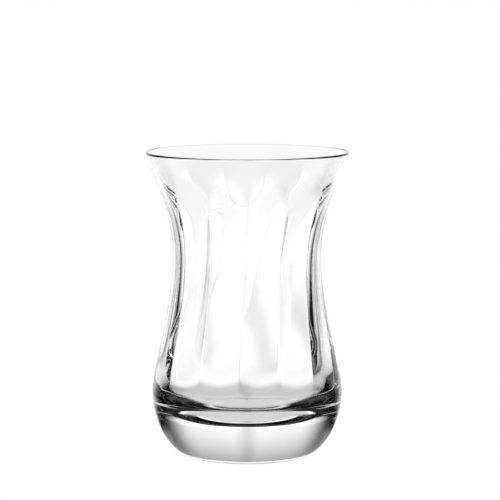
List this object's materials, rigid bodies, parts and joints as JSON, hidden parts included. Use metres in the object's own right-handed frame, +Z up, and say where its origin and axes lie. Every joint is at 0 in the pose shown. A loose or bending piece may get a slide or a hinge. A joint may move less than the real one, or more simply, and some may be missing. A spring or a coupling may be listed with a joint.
{
  "type": "waisted tea glass",
  "caption": "Empty waisted tea glass of clear moulded glass, with a flared lip, a narrow waist, a round belly, low leaning ribs inside and a thick solid foot.",
  "frame": {"origin": "middle of the flat foot, on the surface that the glass stands on", "axes": "+Z up along the glass's axis, +X to the right and +Y away from the viewer of the picture"},
  "size_m": [0.064, 0.064, 0.0965],
  "materials": {
    "clear_glass": "gloss"
  },
  "bodies": {
    "root": {"glass": "clear_glass"}
  },
  "joints": []
}
